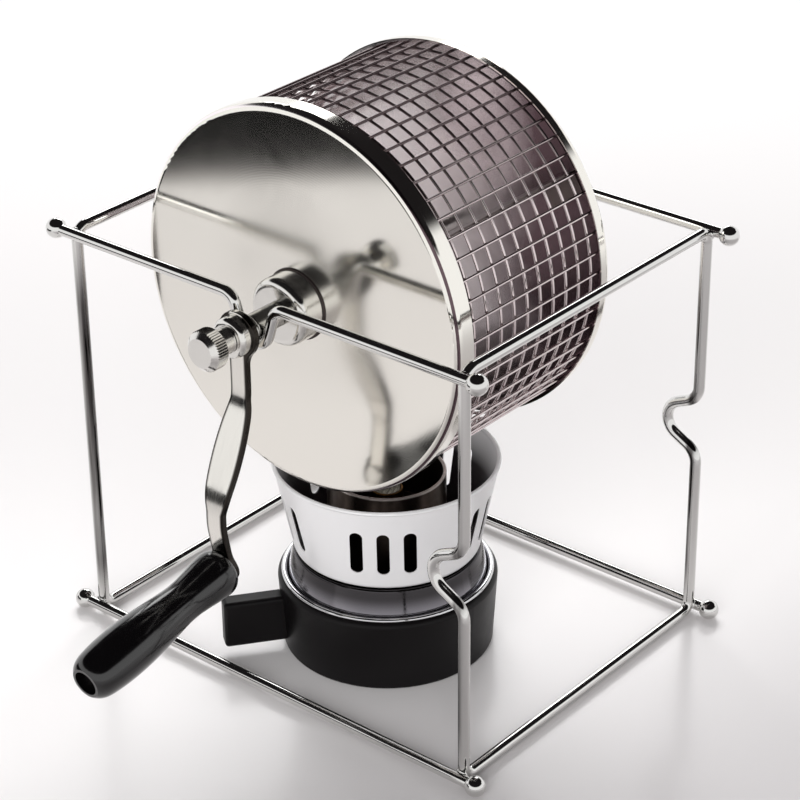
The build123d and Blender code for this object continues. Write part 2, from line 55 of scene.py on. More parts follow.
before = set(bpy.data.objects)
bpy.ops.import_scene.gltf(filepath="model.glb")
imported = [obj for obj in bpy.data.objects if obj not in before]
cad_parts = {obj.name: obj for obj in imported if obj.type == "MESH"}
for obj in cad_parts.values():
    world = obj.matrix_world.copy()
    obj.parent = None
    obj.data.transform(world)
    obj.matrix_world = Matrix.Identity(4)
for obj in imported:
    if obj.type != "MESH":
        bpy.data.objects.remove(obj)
CAD_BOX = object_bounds()
MM = 0.001

STAND_NODES = (
    "left_side_loop", "right_side_loop", "front_top_wire", "rear_top_wire",
    "front_bottom_wire", "rear_bottom_wire", "top_ball_ends", "foot_balls",
)
TURNED_NODES = (
    "front_hub", "rear_hub", "shaft", "shaft_stop_collar", "crank_collar", "grip_pin", "thumb_screw",
)


def middle(node):
    """Middle of a node's box."""
    low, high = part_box(node)
    return (low + high) / 2


DRUM_AXIS = middle("front_hub")
BURNER_AXIS = middle("windshield")


# Settings that a user would change

def linear(hex_code):
    """Linear red, green and blue of an sRGB hex colour."""
    channels = [int(hex_code[i:i + 2], 16) / 255 for i in (1, 3, 5)]
    return [c / 12.92 if c <= 0.04045 else ((c + 0.055) / 1.055) ** 2.4 for c in channels]


def colour(name, hex_code, description):
    """Colour setting."""
    return FloatVectorProperty(
        name=name, description=description, default=linear(hex_code), subtype="COLOR", size=3, min=0, max=1)


def length(name, millimetres, description):
    """Length setting, written in millimetres."""
    return FloatProperty(
        name=name, description=description, default=millimetres * MM, min=0, precision=4, unit="LENGTH")


def angle(name, degrees, description):
    """Angle setting, written in degrees."""
    return FloatProperty(name=name, description=description, default=radians(degrees), subtype="ANGLE")


def watts(name, power, description):
    """Lamp power setting."""
    return FloatProperty(name=name, description=description, default=power, min=0, unit="POWER")


class RoasterFinish(bpy.types.PropertyGroup):
    """Colours of the roaster's materials."""
    stand: colour("Stand wire", "#DEDDDB", "Nickel plating on the stand's wire")
    # Painted dark reflection: darker streaks up the inner side of the posts.
    stand_painted_dark: colour("Smoked posts", "#575453", "The stand's posts on the side that faces the burner")
    cap: colour("End caps", "#F3F0E9", "Polished sheet of the drum's end caps")
    # Painted reflections inside the caps: pale to the left, dark to the right.
    cap_inside_painted_pale: colour("Inside of the caps", "#FFF8F9", "End caps where roasting has barely tinted them")
    cap_inside_painted_dark: colour("Browned caps", "#6A595E", "End caps where roasting has browned them most")
    mesh: colour("Mesh wire", "#DCD0D0", "Bright wire of the drum's mesh")
    # Painted dark reflection along the top of the drum's mesh.
    mesh_painted_dark: colour("Browned mesh", "#6E6061", "Mesh wire where roasting has browned it")
    vane: colour("Vanes", "#7A706E", "Plain sheet of the stirring vanes")
    turned: colour("Turned steel", "#E2E0DC", "Shaft, hubs, collars and thumb screw")
    bush: colour("Bushes", "#C3C1BC", "Sleeves that the shaft turns in")
    arm: colour("Crank arm", "#E9E6E0", "Polished strip of the crank arm")
    # Painted shade along the edges of the crank arm.
    arm_shaded_edge: colour("Arm edges", "#36322F", "Edges of the crank arm, dark from shearing")
    # Dark partly from heat tint and partly as painted shade where each hub meets its cap.
    weld: colour("Hub welds", "#4A4341", "Weld beads round the hubs, tinted by heat")
    grip: colour("Grip", "#070607", "Glossy moulding of the grip")
    base: colour("Burner base", "#0A0809", "Satin moulding of the burner's base")
    bezel: colour("Bezel", "#D8D8DA", "Bright ring round the burner's base")
    # Darker than bare polished stainless: a painted dark reflection.
    tank: colour("Fuel tank", "#96949A", "Spun sheet of the fuel tank at the bezel")
    # Painted shade: the tank darkens towards the windshield above it.
    tank_painted_shade: colour("Heated tank", "#484648", "Fuel tank where it has darkened below the windshield")
    shield: colour("Windshield", "#F7F6F7", "Satin sheet of the windshield")
    # Painted shade: darker low down inside the windshield.
    soot: colour("Soot", "#2B2426", "Inside of the windshield where the flame has sooted it")
    cup: colour("Burner cup", "#6B5F57", "Sheet of the burner cup, browned by heat")
    scorch: colour("Scorch", "#2A2320", "Burner cup where the flame has blackened it")
    # Painted highlight along the rim of the burner cup.
    cup_rim_highlight: colour("Cup rim", "#D9D0CA", "Rim of the burner cup, rubbed bright")
    brass: colour("Wick tube", "#B8925A", "Drawn brass of the wick tube")
    tarnish: colour("Tarnish", "#6E4F2C", "Wick tube where it has gone brown")
    cotton: colour("Wick", "#D9D2C0", "Cotton of the wick")
    char: colour("Charred wick", "#1B1714", "Burnt end of the wick")


class RoasterSizes(bpy.types.PropertyGroup):
    """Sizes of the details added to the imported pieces, and of shapes that their finishes follow."""
    wire_radius: length("Wire radius", 2.0, "Radius of the stand's wire")
    bend_radius: length("Bend radius", 4.0, "Radius at the middle of a side loop's bends")
    weld_spread: length("Weld spread", 2.3, "How far a weld bead on the stand spreads from its middle")
    weld_height: length("Weld height", 1.2, "How far a weld bead fills the corner of two wires")
    bar_count: IntProperty(name="Mesh bars", description="Straight wires round the drum", default=60, min=3)
    bar_angle: angle("First mesh bar", 3.6, "From straight up towards the right")
    hoop_count: IntProperty(name="Mesh hoops", description="Round wires along the drum", default=10, min=2)
    arm_width: length("Arm width", 7.2, "Width of the crank arm's strip")
    arm_swell: length("Arm swell", 11.8, "Width of the crank arm between its bends")
    swell_length: length("Swell length", 46.0, "Length over which the crank arm is wider")
    swell_drop: length("Swell drop", 41.5, "From the shaft down to the middle of the wider part")
    # Width of the painted shade along each edge of the crank arm.
    arm_shaded_edge: length("Arm edge", 0.9, "Width of the dark edge along the crank arm")
    hub_weld: length("Hub weld", 0.7, "Radius of the weld bead round each hub")
    shield_foot: length("Windshield foot", 32.5, "Radius to the middle of the windshield's sheet at its foot")
    shield_mouth: length("Windshield mouth", 39.3, "Radius to the middle of its sheet at its upper edge")
    nugget: length("Mesh weld", 0.62, "Radius of the weld where two mesh wires cross")
    strand_radius: length("Wick strand", 0.94, "Radius of one twisted strand of the wick")
    strand_lay: length("Wick lay", 34.0, "Height in which the wick's strands go once round")


class RoasterStage(bpy.types.PropertyGroup):
    """Camera, floor and lamps."""
    azimuth: angle("Camera azimuth", 40.05, "From straight in front of the crank towards the right")
    elevation: angle("Camera elevation", 28.28, "How far the camera looks down")
    roll: angle("Camera roll", -0.64, "Turn of the camera about its own axis")
    distance: length("Camera distance", 900.0, "From the camera to the point it looks at")
    lens: FloatProperty(
        name="Lens", description="Focal length on a 36 mm wide frame", default=117.29, unit="CAMERA")
    aim: FloatVectorProperty(
        name="Aim", description="Point that the camera looks at", default=(0.00804, -0.00565, 0.09278),
        subtype="TRANSLATION", unit="LENGTH", size=3)
    floor: colour("Floor", "#F4F1F1", "Pale laminate that the roaster stands on")
    floor_front: colour("Front of the floor", "#C9C5C6", "Laminate at the front right, in less light")
    backdrop: colour("Backdrop", "#FFFFFF", "White paper behind the set")
    room: colour("Room", "#1A1819", "Dim room above the set")
    key: watts("Key lamp", 3.0, "Long soft lamp behind the roaster on the left")
    front: watts("Front lamp", 9.0, "Soft lamp above the camera")
    top: watts("Top lamp", 10.0, "Large lamp above and behind, which lights the floor")


# Where finishes and painted dark reflections change: heights over the drum's axis, radii on a cap, and
# distances to a cap's right

MESH_DARK_FROM, MESH_DARK_TO = 43 * MM, 59 * MM
MOP_REACH, MOP_END = 42 * MM, 24 * MM
CAP_DARK_FROM, CAP_DARK_TO = 6 * MM, 54 * MM


# Building blocks for materials

def add(tree, kind, inputs=None, **settings):
    """Adds a node with its settings; an input is a value or another node's output."""
    node = tree.nodes.new(kind)
    for name, value in settings.items():
        setattr(node, name, value)
    for name, value in (inputs or {}).items():
        if isinstance(value, bpy.types.NodeSocket):
            tree.links.new(value, node.inputs[name])
        else:
            node.inputs[name].default_value = value
    return node


def new_material(name):
    """Empty material, its node tree and the Object coordinates in it."""
    material = bpy.data.materials.new(name)
    material.use_nodes = True
    tree = material.node_tree
    tree.nodes.clear()
    return material, tree, add(tree, "ShaderNodeTexCoord").outputs["Object"]


def surface(tree, inputs):
    """Ends a material with its shader."""
    shader = add(tree, "ShaderNodeBsdfPrincipled", inputs)
    add(tree, "ShaderNodeOutputMaterial", {"Surface": shader.outputs["BSDF"]})


def opaque(rgb):
    """Colour with full alpha, for a colour socket."""
    return (*rgb, 1.0)


def per(millimetres):
    """Noise scale that gives features of this size."""
    return 1 / (millimetres * MM)


def wave_per(millimetres):
    """Wave scale that gives rings or bands this far apart."""
    return pi / 10 / (millimetres * MM)


def painted_dark_top(tree, place):
    """1 along the top of the drum's mesh as the drum stands at rest, 0 on its sides: the share of painted
    dark reflection.
    """
    patches = add(tree, "ShaderNodeTexNoise", {"Vector": place, "Scale": per(11), "Detail": 4.0})
    height = add(tree, "ShaderNodeSeparateXYZ", {"Vector": place}).outputs["Z"]
    uneven = add(tree, "ShaderNodeMath", {
        0: patches.outputs["Fac"], 1: 10 * MM, 2: height}, operation="MULTIPLY_ADD")
    return add(tree, "ShaderNodeMapRange", {
        "Value": uneven.outputs["Value"],
        "From Min": DRUM_AXIS.z + MESH_DARK_FROM, "From Max": DRUM_AXIS.z + MESH_DARK_TO}).outputs["Result"]


def painted_dark_posts(tree, place):
    """Share of painted dark reflection on the stand's wire: streaks up the posts, on the side that faces the
    burner.
    """
    low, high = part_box("left_side_loop")
    wire_x = -middle("left_side_loop").x
    parts = add(tree, "ShaderNodeSeparateXYZ", {"Vector": place}).outputs
    off = add(tree, "ShaderNodeMath", {0: parts["X"]}, operation="ABSOLUTE").outputs["Value"]
    stretched = add(tree, "ShaderNodeMapping", {"Vector": place, "Scale": (1.0, 1.0, 0.04)})
    streaks = add(tree, "ShaderNodeTexNoise", {"Vector": stretched.outputs["Vector"], "Scale": per(2.4)})
    share = add(tree, "ShaderNodeMapRange", {
        "Value": streaks.outputs["Fac"], "From Min": 0.35, "From Max": 0.6,
        "To Min": 0.6}).outputs["Result"]
    # From no painted darkening to full: across a post, off the kinks, up from the floor and down from the
    # top.
    limits = (
        (off, wire_x + 1.2 * MM, wire_x - 0.8 * MM),
        (off, wire_x - 4 * MM, wire_x - 2.2 * MM),
        (parts["Z"], low.z + 2 * MM, low.z + 24 * MM),
        (parts["Z"], high.z - 6 * MM, high.z - 32 * MM),
    )
    for value, none, full in limits:
        fade = add(tree, "ShaderNodeMapRange", {
            "Value": value, "From Min": none, "From Max": full}, interpolation_type="SMOOTHSTEP")
        share = add(tree, "ShaderNodeMath", {
            0: share, 1: fade.outputs["Result"]}, operation="MULTIPLY").outputs["Value"]
    return share


def polished_wire(name, rgb, darker, darker_share, roughest):
    """Drawn steel wire, polished and nickel plated: a clear mirror, a little dull in patches.

    The drum's wire has a painted dark reflection along its top, and the stand's posts have painted dark
    reflections in streaks towards the burner."""
    material, tree, place = new_material(name)
    patches = add(tree, "ShaderNodeTexNoise", {"Vector": place, "Scale": per(11), "Detail": 4.0})
    tint = add(tree, "ShaderNodeMix", {
        0: darker_share(tree, place), 6: opaque(rgb), 7: opaque(darker)}, data_type="RGBA")
    dull = add(tree, "ShaderNodeMapRange", {
        "Value": patches.outputs["Fac"], "From Min": 0.35, "From Max": 0.7,
        "To Min": 0.05, "To Max": roughest})
    ripple = add(tree, "ShaderNodeTexNoise", {"Vector": place, "Scale": per(3), "Detail": 2.0})
    bump = add(tree, "ShaderNodeBump", {
        "Height": ripple.outputs["Fac"], "Strength": 0.1, "Distance": 0.03 * MM})
    surface(tree, {
        "Base Color": tint.outputs[2], "Metallic": 1.0, "Roughness": dull.outputs["Result"],
        "Normal": bump.outputs["Normal"]})
    return material


def within(tree, value, low, high):
    """1 where a value lies between two limits, 0 outside them."""
    half = (high - low) / 2
    return add(tree, "ShaderNodeMath", {
        0: value, 1: low + half, 2: half}, operation="COMPARE").outputs["Value"]


def cap_insides(tree, along_axis, out):
    """1 on the faces of the two caps that look into the drum."""
    front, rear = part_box("front_end_cap"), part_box("rear_end_cap")
    # Less than the sheet's thickness, so that the outer faces stay out.
    skin = 0.4 * MM
    along = within(tree, along_axis, front[0].y - DRUM_AXIS.y + skin, rear[1].y - DRUM_AXIS.y - skin)
    across = within(tree, out, 0.0, front[1].x - DRUM_AXIS.x - skin)
    return add(tree, "ShaderNodeMath", {0: along, 1: across}, operation="MULTIPLY").outputs["Value"]


def polished_cap_sheet(rgb, tinted, browned):
    """Stamped stainless sheet, polished on a turning mop: clear reflections, faint rings, slight waves.

    It is duller towards the hub, which the mop reaches less. The faces that look into the drum carry a
    painted reflection: pale to the left, painted dark towards the right."""
    material, tree, place = new_material("stamped_stainless_sheet_mop_polished")
    centred = add(tree, "ShaderNodeMapping", {"Vector": place, "Location": -DRUM_AXIS}).outputs["Vector"]
    # Mop marks are finer than a pixel, so they are drawn 0.9 mm apart.
    rings = add(tree, "ShaderNodeTexWave", {
        "Vector": centred, "Scale": wave_per(0.9), "Distortion": 3.0, "Detail": 2.0, "Detail Scale": 1.5},
        wave_type="RINGS", rings_direction="Y")
    smears = add(tree, "ShaderNodeTexNoise", {
        "Vector": centred, "Scale": per(26), "Detail": 5.0, "Roughness": 0.6, "Distortion": 0.8})
    dull = add(tree, "ShaderNodeMapRange", {
        "Value": smears.outputs["Fac"], "From Min": 0.3, "From Max": 0.7, "To Min": 0.08, "To Max": 0.11})
    parts = add(tree, "ShaderNodeSeparateXYZ", {"Vector": centred}).outputs
    flat = add(tree, "ShaderNodeCombineXYZ", {"X": parts["X"], "Z": parts["Z"]})
    out = add(
        tree, "ShaderNodeVectorMath", {0: flat.outputs["Vector"]}, operation="LENGTH").outputs["Value"]
    unreached = add(tree, "ShaderNodeMapRange", {
        "Value": out, "From Min": MOP_REACH, "From Max": MOP_END, "To Min": 0.0, "To Max": 0.12})
    polish = add(tree, "ShaderNodeMath", {
        0: dull.outputs["Result"], 1: unreached.outputs["Result"]}, operation="ADD")
    inside = cap_insides(tree, parts["Y"], out)
    # Painted reflection on the faces inside: pale to the left, darker to the right.
    uneven = add(tree, "ShaderNodeMath", {
        0: smears.outputs["Fac"], 1: 30 * MM, 2: parts["X"]}, operation="MULTIPLY_ADD")
    dark_share = add(tree, "ShaderNodeMapRange", {
        "Value": uneven.outputs["Value"], "From Min": CAP_DARK_FROM, "From Max": CAP_DARK_TO})
    brown = add(tree, "ShaderNodeMix", {
        0: dark_share.outputs["Result"], 6: opaque(tinted), 7: opaque(browned)}, data_type="RGBA")
    tint = add(tree, "ShaderNodeMix", {0: inside, 6: opaque(rgb), 7: brown.outputs[2]}, data_type="RGBA")
    duller = add(tree, "ShaderNodeMath", {
        0: inside, 1: 0.08, 2: polish.outputs["Value"]}, operation="MULTIPLY_ADD")
    waves = add(tree, "ShaderNodeTexNoise", {"Vector": centred, "Scale": per(45), "Detail": 1.0})
    sheet = add(tree, "ShaderNodeBump", {
        "Height": waves.outputs["Fac"], "Strength": 0.1, "Distance": 0.5 * MM})
    bump = add(tree, "ShaderNodeBump", {
        "Height": rings.outputs["Fac"], "Strength": 0.03, "Distance": 0.01 * MM,
        "Normal": sheet.outputs["Normal"]})
    surface(tree, {
        "Base Color": tint.outputs[2], "Metallic": 1.0, "Roughness": duller.outputs["Value"],
        "Normal": bump.outputs["Normal"]})
    return material


def plain_sheet(name, rgb, roughness):
    """Cold-rolled sheet as it came from the mill: dull, with rolling marks one way."""
    material, tree, place = new_material(name)
    stretched = add(tree, "ShaderNodeMapping", {"Vector": place, "Scale": (1.0, 0.05, 1.0)}).outputs["Vector"]
    # Rolling marks are drawn 0.8 mm wide so that they show.
    marks = add(tree, "ShaderNodeTexNoise", {"Vector": stretched, "Scale": per(0.8), "Detail": 3.0})
    dull = add(tree, "ShaderNodeMapRange", {
        "Value": marks.outputs["Fac"], "To Min": roughness - 0.08, "To Max": roughness + 0.08})
    bump = add(tree, "ShaderNodeBump", {
        "Height": marks.outputs["Fac"], "Strength": 0.2, "Distance": 0.02 * MM})
    surface(tree, {
        "Base Color": opaque(rgb), "Metallic": 1.0, "Roughness": dull.outputs["Result"],
        "Normal": bump.outputs["Normal"]})
    return material


def turned_steel(name, rgb, roughness):
    """Free-cutting steel, turned and buffed: bright, with fine tool marks round it."""
    material, tree, place = new_material(name)
    # The tool's feed of about 0.1 mm is drawn at 0.45 mm so that it shows.
    marks = add(tree, "ShaderNodeTexWave", {
        "Vector": place, "Scale": wave_per(0.45), "Distortion": 0.6, "Detail": 1.0},
        wave_type="BANDS", bands_direction="Y")
    patches = add(tree, "ShaderNodeTexNoise", {"Vector": place, "Scale": per(4), "Detail": 3.0})
    dull = add(tree, "ShaderNodeMapRange", {
        "Value": patches.outputs["Fac"], "From Min": 0.3, "From Max": 0.7,
        "To Min": roughness, "To Max": roughness + 0.1})
    bump = add(tree, "ShaderNodeBump", {
        "Height": marks.outputs["Fac"], "Strength": 0.12, "Distance": 0.01 * MM})
    surface(tree, {
        "Base Color": opaque(rgb), "Metallic": 1.0, "Roughness": dull.outputs["Result"],
        "Normal": bump.outputs["Normal"]})
    return material


def shaded_arm_edges(tree, place, sizes):
    """1 along the two edges of the crank arm, where shade is painted, 0 on its faces."""
    middle_z = DRUM_AXIS.z - sizes.swell_drop
    reach = sizes.swell_length / 2
    parts = add(tree, "ShaderNodeSeparateXYZ", {"Vector": place}).outputs
    along = add(tree, "ShaderNodeMapRange", {
        "Value": parts["Z"], "From Min": middle_z - reach, "From Max": middle_z + reach, "To Min": -1.0})
    square = add(tree, "ShaderNodeMath", {
        0: along.outputs["Result"], 1: along.outputs["Result"]}, operation="MULTIPLY")
    rest = add(tree, "ShaderNodeMath", {0: 1.0, 1: square.outputs["Value"]}, operation="SUBTRACT")
    root = add(tree, "ShaderNodeMath", {0: rest.outputs["Value"]}, operation="SQRT")
    swell = add(tree, "ShaderNodeMath", {
        0: root.outputs["Value"], 1: sizes.arm_swell / 2}, operation="MULTIPLY")
    half = add(tree, "ShaderNodeMath", {
        0: swell.outputs["Value"], 1: sizes.arm_width / 2}, operation="MAXIMUM")
    off = add(tree, "ShaderNodeMath", {0: parts["X"]}, operation="ABSOLUTE")
    left = add(tree, "ShaderNodeMath", {
        0: half.outputs["Value"], 1: off.outputs["Value"]}, operation="SUBTRACT")
    # The edge fades out over 40 percent of its width to either side.
    return add(tree, "ShaderNodeMapRange", {
        "Value": left.outputs["Value"],
        "From Min": 1.4 * sizes.arm_shaded_edge, "From Max": 0.6 * sizes.arm_shaded_edge}).outputs["Result"]


def polished_strip(rgb, edge_shade, sizes):
    """Steel strip, belt polished along its length: bright, with fine lines down it and painted shade along
    its edges.
    """
    material, tree, place = new_material("steel_strip_belt_polished")
    stretched = add(tree, "ShaderNodeMapping", {"Vector": place, "Scale": (1.0, 0.1, 0.04)})
    # Belt lines are drawn 0.5 mm wide so that they show.
    lines = add(tree, "ShaderNodeTexNoise", {
        "Vector": stretched.outputs["Vector"], "Scale": per(0.5), "Detail": 4.0})
    tint = add(tree, "ShaderNodeMix", {
        0: shaded_arm_edges(tree, place, sizes), 6: opaque(rgb), 7: opaque(edge_shade)}, data_type="RGBA")
    dull = add(tree, "ShaderNodeMapRange", {
        "Value": lines.outputs["Fac"], "From Min": 0.3, "From Max": 0.7, "To Min": 0.1, "To Max": 0.22})
    bump = add(tree, "ShaderNodeBump", {
        "Height": lines.outputs["Fac"], "Strength": 0.15, "Distance": 0.01 * MM})
    surface(tree, {
        "Base Color": tint.outputs[2], "Metallic": 1.0, "Roughness": dull.outputs["Result"],
        "Normal": bump.outputs["Normal"]})
    return material


def weld_bead(rgb):
    """Steel weld left as it cooled: dark, partly from heat tint and partly painted shade at the hub's foot,
    with small ripples.
    """
    material, tree, place = new_material("steel_weld_heat_tint_and_painted_shade")
    ripples = add(tree, "ShaderNodeTexNoise", {"Vector": place, "Scale": per(0.8), "Detail": 3.0})
    tint = add(tree, "ShaderNodeMix", {
        0: ripples.outputs["Fac"], 6: opaque([0.6 * c for c in rgb]), 7: opaque([1.4 * c for c in rgb])},
        data_type="RGBA")
    bump = add(tree, "ShaderNodeBump", {
        "Height": ripples.outputs["Fac"], "Strength": 0.5, "Distance": 0.08 * MM})
    surface(tree, {
        "Base Color": tint.outputs[2], "Metallic": 1.0, "Roughness": 0.4, "Normal": bump.outputs["Normal"]})
    return material


def glossy_moulding(rgb):
    """Phenolic resin, compression moulded and buffed: deep black and glossy, with handling marks."""
    material, tree, place = new_material("phenolic_resin_buffed")
    handling = add(tree, "ShaderNodeTexNoise", {
        "Vector": place, "Scale": per(9), "Detail": 6.0, "Roughness": 0.65})
    dull = add(tree, "ShaderNodeMapRange", {
        "Value": handling.outputs["Fac"], "From Min": 0.35, "From Max": 0.7, "To Min": 0.1, "To Max": 0.2})
    peel = add(tree, "ShaderNodeTexNoise", {"Vector": place, "Scale": per(2.2), "Detail": 2.0})
    bump = add(tree, "ShaderNodeBump", {
        "Height": peel.outputs["Fac"], "Strength": 0.06, "Distance": 0.05 * MM})
    surface(tree, {
        "Base Color": opaque(rgb), "Roughness": dull.outputs["Result"], "IOR": 1.6,
        "Coat Weight": 0.35, "Coat Roughness": 0.06, "Normal": bump.outputs["Normal"]})
    return material


def satin_moulding(rgb):
    """Phenolic resin, moulded in an etched tool: black with a soft sheen and a very fine grain."""
    material, tree, place = new_material("phenolic_resin_satin_moulded")
    # The etched grain of about 0.1 mm is drawn at 0.5 mm so that it shows.
    grain = add(tree, "ShaderNodeTexNoise", {"Vector": place, "Scale": per(0.5), "Detail": 2.0})
    dust = add(tree, "ShaderNodeTexNoise", {
        "Vector": place, "Scale": per(16), "Detail": 5.0, "Roughness": 0.6})
    dull = add(tree, "ShaderNodeMapRange", {
        "Value": dust.outputs["Fac"], "From Min": 0.3, "From Max": 0.7, "To Min": 0.34, "To Max": 0.46})
    paler = add(tree, "ShaderNodeMix", {
        0: dust.outputs["Fac"], 6: opaque(rgb), 7: opaque([1.5 * c for c in rgb])}, data_type="RGBA")
    bump = add(tree, "ShaderNodeBump", {
        "Height": grain.outputs["Fac"], "Strength": 0.2, "Distance": 0.04 * MM})
    surface(tree, {
        "Base Color": paler.outputs[2], "Roughness": dull.outputs["Result"], "IOR": 1.5,
        "Specular IOR Level": 0.2, "Normal": bump.outputs["Normal"]})
    return material


def on_burner(tree, place):
    """Object coordinates counted from the middle of the windshield."""
    return add(tree, "ShaderNodeMapping", {"Vector": place, "Location": -BURNER_AXIS}).outputs["Vector"]


def spun_finish(tree, centred, spacing, low, high):
    """Roughness and normal of sheet that was spun on a lathe: fine lines round the burner's axis."""
    # The lines are stretched round the axis and narrow up the surface; they are drawn wider than real.
    squashed = add(tree, "ShaderNodeMapping", {"Vector": centred, "Scale": (0.02, 0.02, 1.0)})
    lines = add(tree, "ShaderNodeTexNoise", {
        "Vector": squashed.outputs["Vector"], "Scale": per(spacing), "Detail": 5.0})
    rings = add(tree, "ShaderNodeTexWave", {
        "Vector": centred, "Scale": wave_per(1.2), "Distortion": 2.0, "Detail": 2.0},
        wave_type="RINGS", rings_direction="Z")
    dull = add(tree, "ShaderNodeMapRange", {
        "Value": lines.outputs["Fac"], "From Min": 0.3, "From Max": 0.7, "To Min": low, "To Max": high})
    brushed = add(tree, "ShaderNodeBump", {
        "Height": lines.outputs["Fac"], "Strength": 0.25, "Distance": 0.02 * MM})
    bump = add(tree, "ShaderNodeBump", {
        "Height": rings.outputs["Fac"], "Strength": 0.08, "Distance": 0.01 * MM,
        "Normal": brushed.outputs["Normal"]})
    return {"Roughness": dull.outputs["Result"], "Normal": bump.outputs["Normal"]}


def bright_ring(rgb):
    """Steel ring, spun and bright plated: a clear mirror with faint lines round it."""
    material, tree, place = new_material("steel_ring_bright_plated")
    finish = spun_finish(tree, on_burner(tree, place), 0.4, 0.05, 0.12)
    surface(tree, {"Base Color": opaque(rgb), "Metallic": 1.0, **finish})
    return material


def tank_sheet(rgb, top_shade):
    """Stainless sheet, spun and polished: grey and bright at the bezel, with painted shade darkening it
    towards its top.
    """
    material, tree, place = new_material("stainless_sheet_spun_bright")
    centred = on_burner(tree, place)
    height = add(tree, "ShaderNodeSeparateXYZ", {"Vector": centred}).outputs["Z"]
    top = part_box("fuel_tank")[1].z - BURNER_AXIS.z
    # Painted shade: darker towards the top, below the windshield.
    heat = add(tree, "ShaderNodeMapRange", {
        "Value": height, "From Min": top - 10 * MM, "From Max": top - 3 * MM},
        interpolation_type="SMOOTHSTEP")
    tint = add(tree, "ShaderNodeMix", {
        0: heat.outputs["Result"], 6: opaque(rgb), 7: opaque(top_shade)}, data_type="RGBA")
    finish = spun_finish(tree, centred, 0.7, 0.08, 0.18)
    surface(tree, {"Base Color": tint.outputs[2], "Metallic": 1.0, **finish})
    return material


def shield_sheet(rgb, low_inside_shade, sizes):
    """Steel sheet, spun and satin plated: silvery white, with fine lines round it and painted shade low down
    inside.

    A satin finish scatters some light evenly, so its metallic value is below 1."""
    material, tree, place = new_material("steel_sheet_spun_satin_plated")
    centred = on_burner(tree, place)
    parts = add(tree, "ShaderNodeSeparateXYZ", {"Vector": centred}).outputs
    flat = add(tree, "ShaderNodeCombineXYZ", {"X": parts["X"], "Y": parts["Y"]})
    out = add(tree, "ShaderNodeVectorMath", {0: flat.outputs["Vector"]}, operation="LENGTH")
    low, high = (corner.z - BURNER_AXIS.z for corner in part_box("windshield"))
    wall = add(tree, "ShaderNodeMapRange", {
        "Value": parts["Z"], "From Min": low, "From Max": high,
        "To Min": sizes.shield_foot, "To Max": sizes.shield_mouth})
    inside = add(tree, "ShaderNodeMath", {
        0: out.outputs["Value"], 1: wall.outputs["Result"]}, operation="LESS_THAN")
    depth = add(tree, "ShaderNodeMapRange", {
        "Value": parts["Z"], "From Min": high - 2 * MM, "From Max": high - 14 * MM})
    # Painted shade: the inside darkens lower down.
    soot = add(tree, "ShaderNodeMath", {
        0: inside.outputs["Value"], 1: depth.outputs["Result"]}, operation="MULTIPLY")
    tint = add(tree, "ShaderNodeMix", {
        0: soot.outputs["Value"], 6: opaque(rgb), 7: opaque(low_inside_shade)}, data_type="RGBA")
    finish = spun_finish(tree, centred, 0.5, 0.3, 0.42)
    surface(tree, {"Base Color": tint.outputs[2], "Metallic": 0.2, **finish})
    return material


def scorched_sheet(rgb, scorched, painted_highlight):
    """Drawn steel cup after many firings: brown, blackened towards its mouth, with a painted highlight on its
    rim.
    """
    material, tree, place = new_material("steel_sheet_heat_browned")
    height = add(tree, "ShaderNodeSeparateXYZ", {"Vector": place}).outputs["Z"]
    low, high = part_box("burner_cup")
    rise = add(tree, "ShaderNodeMapRange", {"Value": height, "From Min": low.z, "From Max": high.z})
    blotches = add(tree, "ShaderNodeTexNoise", {
        "Vector": place, "Scale": per(7), "Detail": 6.0, "Roughness": 0.65})
    soot = add(tree, "ShaderNodeMath", {
        0: rise.outputs["Result"], 1: blotches.outputs["Fac"]}, operation="MULTIPLY")
    brown = add(tree, "ShaderNodeMix", {
        0: soot.outputs["Value"], 6: opaque(rgb), 7: opaque(scorched)}, data_type="RGBA")
    # Painted highlight along the top of the rim.
    rim = add(tree, "ShaderNodeMapRange", {
        "Value": height, "From Min": high.z - 0.9 * MM, "From Max": high.z - 0.5 * MM})
    tint = add(tree, "ShaderNodeMix", {
        0: rim.outputs["Result"], 6: brown.outputs[2], 7: opaque(painted_highlight)}, data_type="RGBA")
    dull = add(tree, "ShaderNodeMapRange", {
        "Value": blotches.outputs["Fac"], "From Min": 0.3, "From Max": 0.7, "To Min": 0.25, "To Max": 0.5})
    surface(tree, {
        "Base Color": tint.outputs[2], "Metallic": 1.0, "Roughness": dull.outputs["Result"]})
    return material


def drawn_brass(rgb, tarnished):
    """Drawn brass tube, gone brown in patches from the flame."""
    material, tree, place = new_material("drawn_brass_tarnished")
    patches = add(tree, "ShaderNodeTexNoise", {
        "Vector": place, "Scale": per(4), "Detail": 5.0, "Roughness": 0.6})
    tint = add(tree, "ShaderNodeMix", {
        0: patches.outputs["Fac"], 6: opaque(rgb), 7: opaque(tarnished)}, data_type="RGBA")
    dull = add(tree, "ShaderNodeMapRange", {
        "Value": patches.outputs["Fac"], "To Min": 0.2, "To Max": 0.5})
    surface(tree, {
        "Base Color": tint.outputs[2], "Metallic": 1.0, "Roughness": dull.outputs["Result"]})
    return material


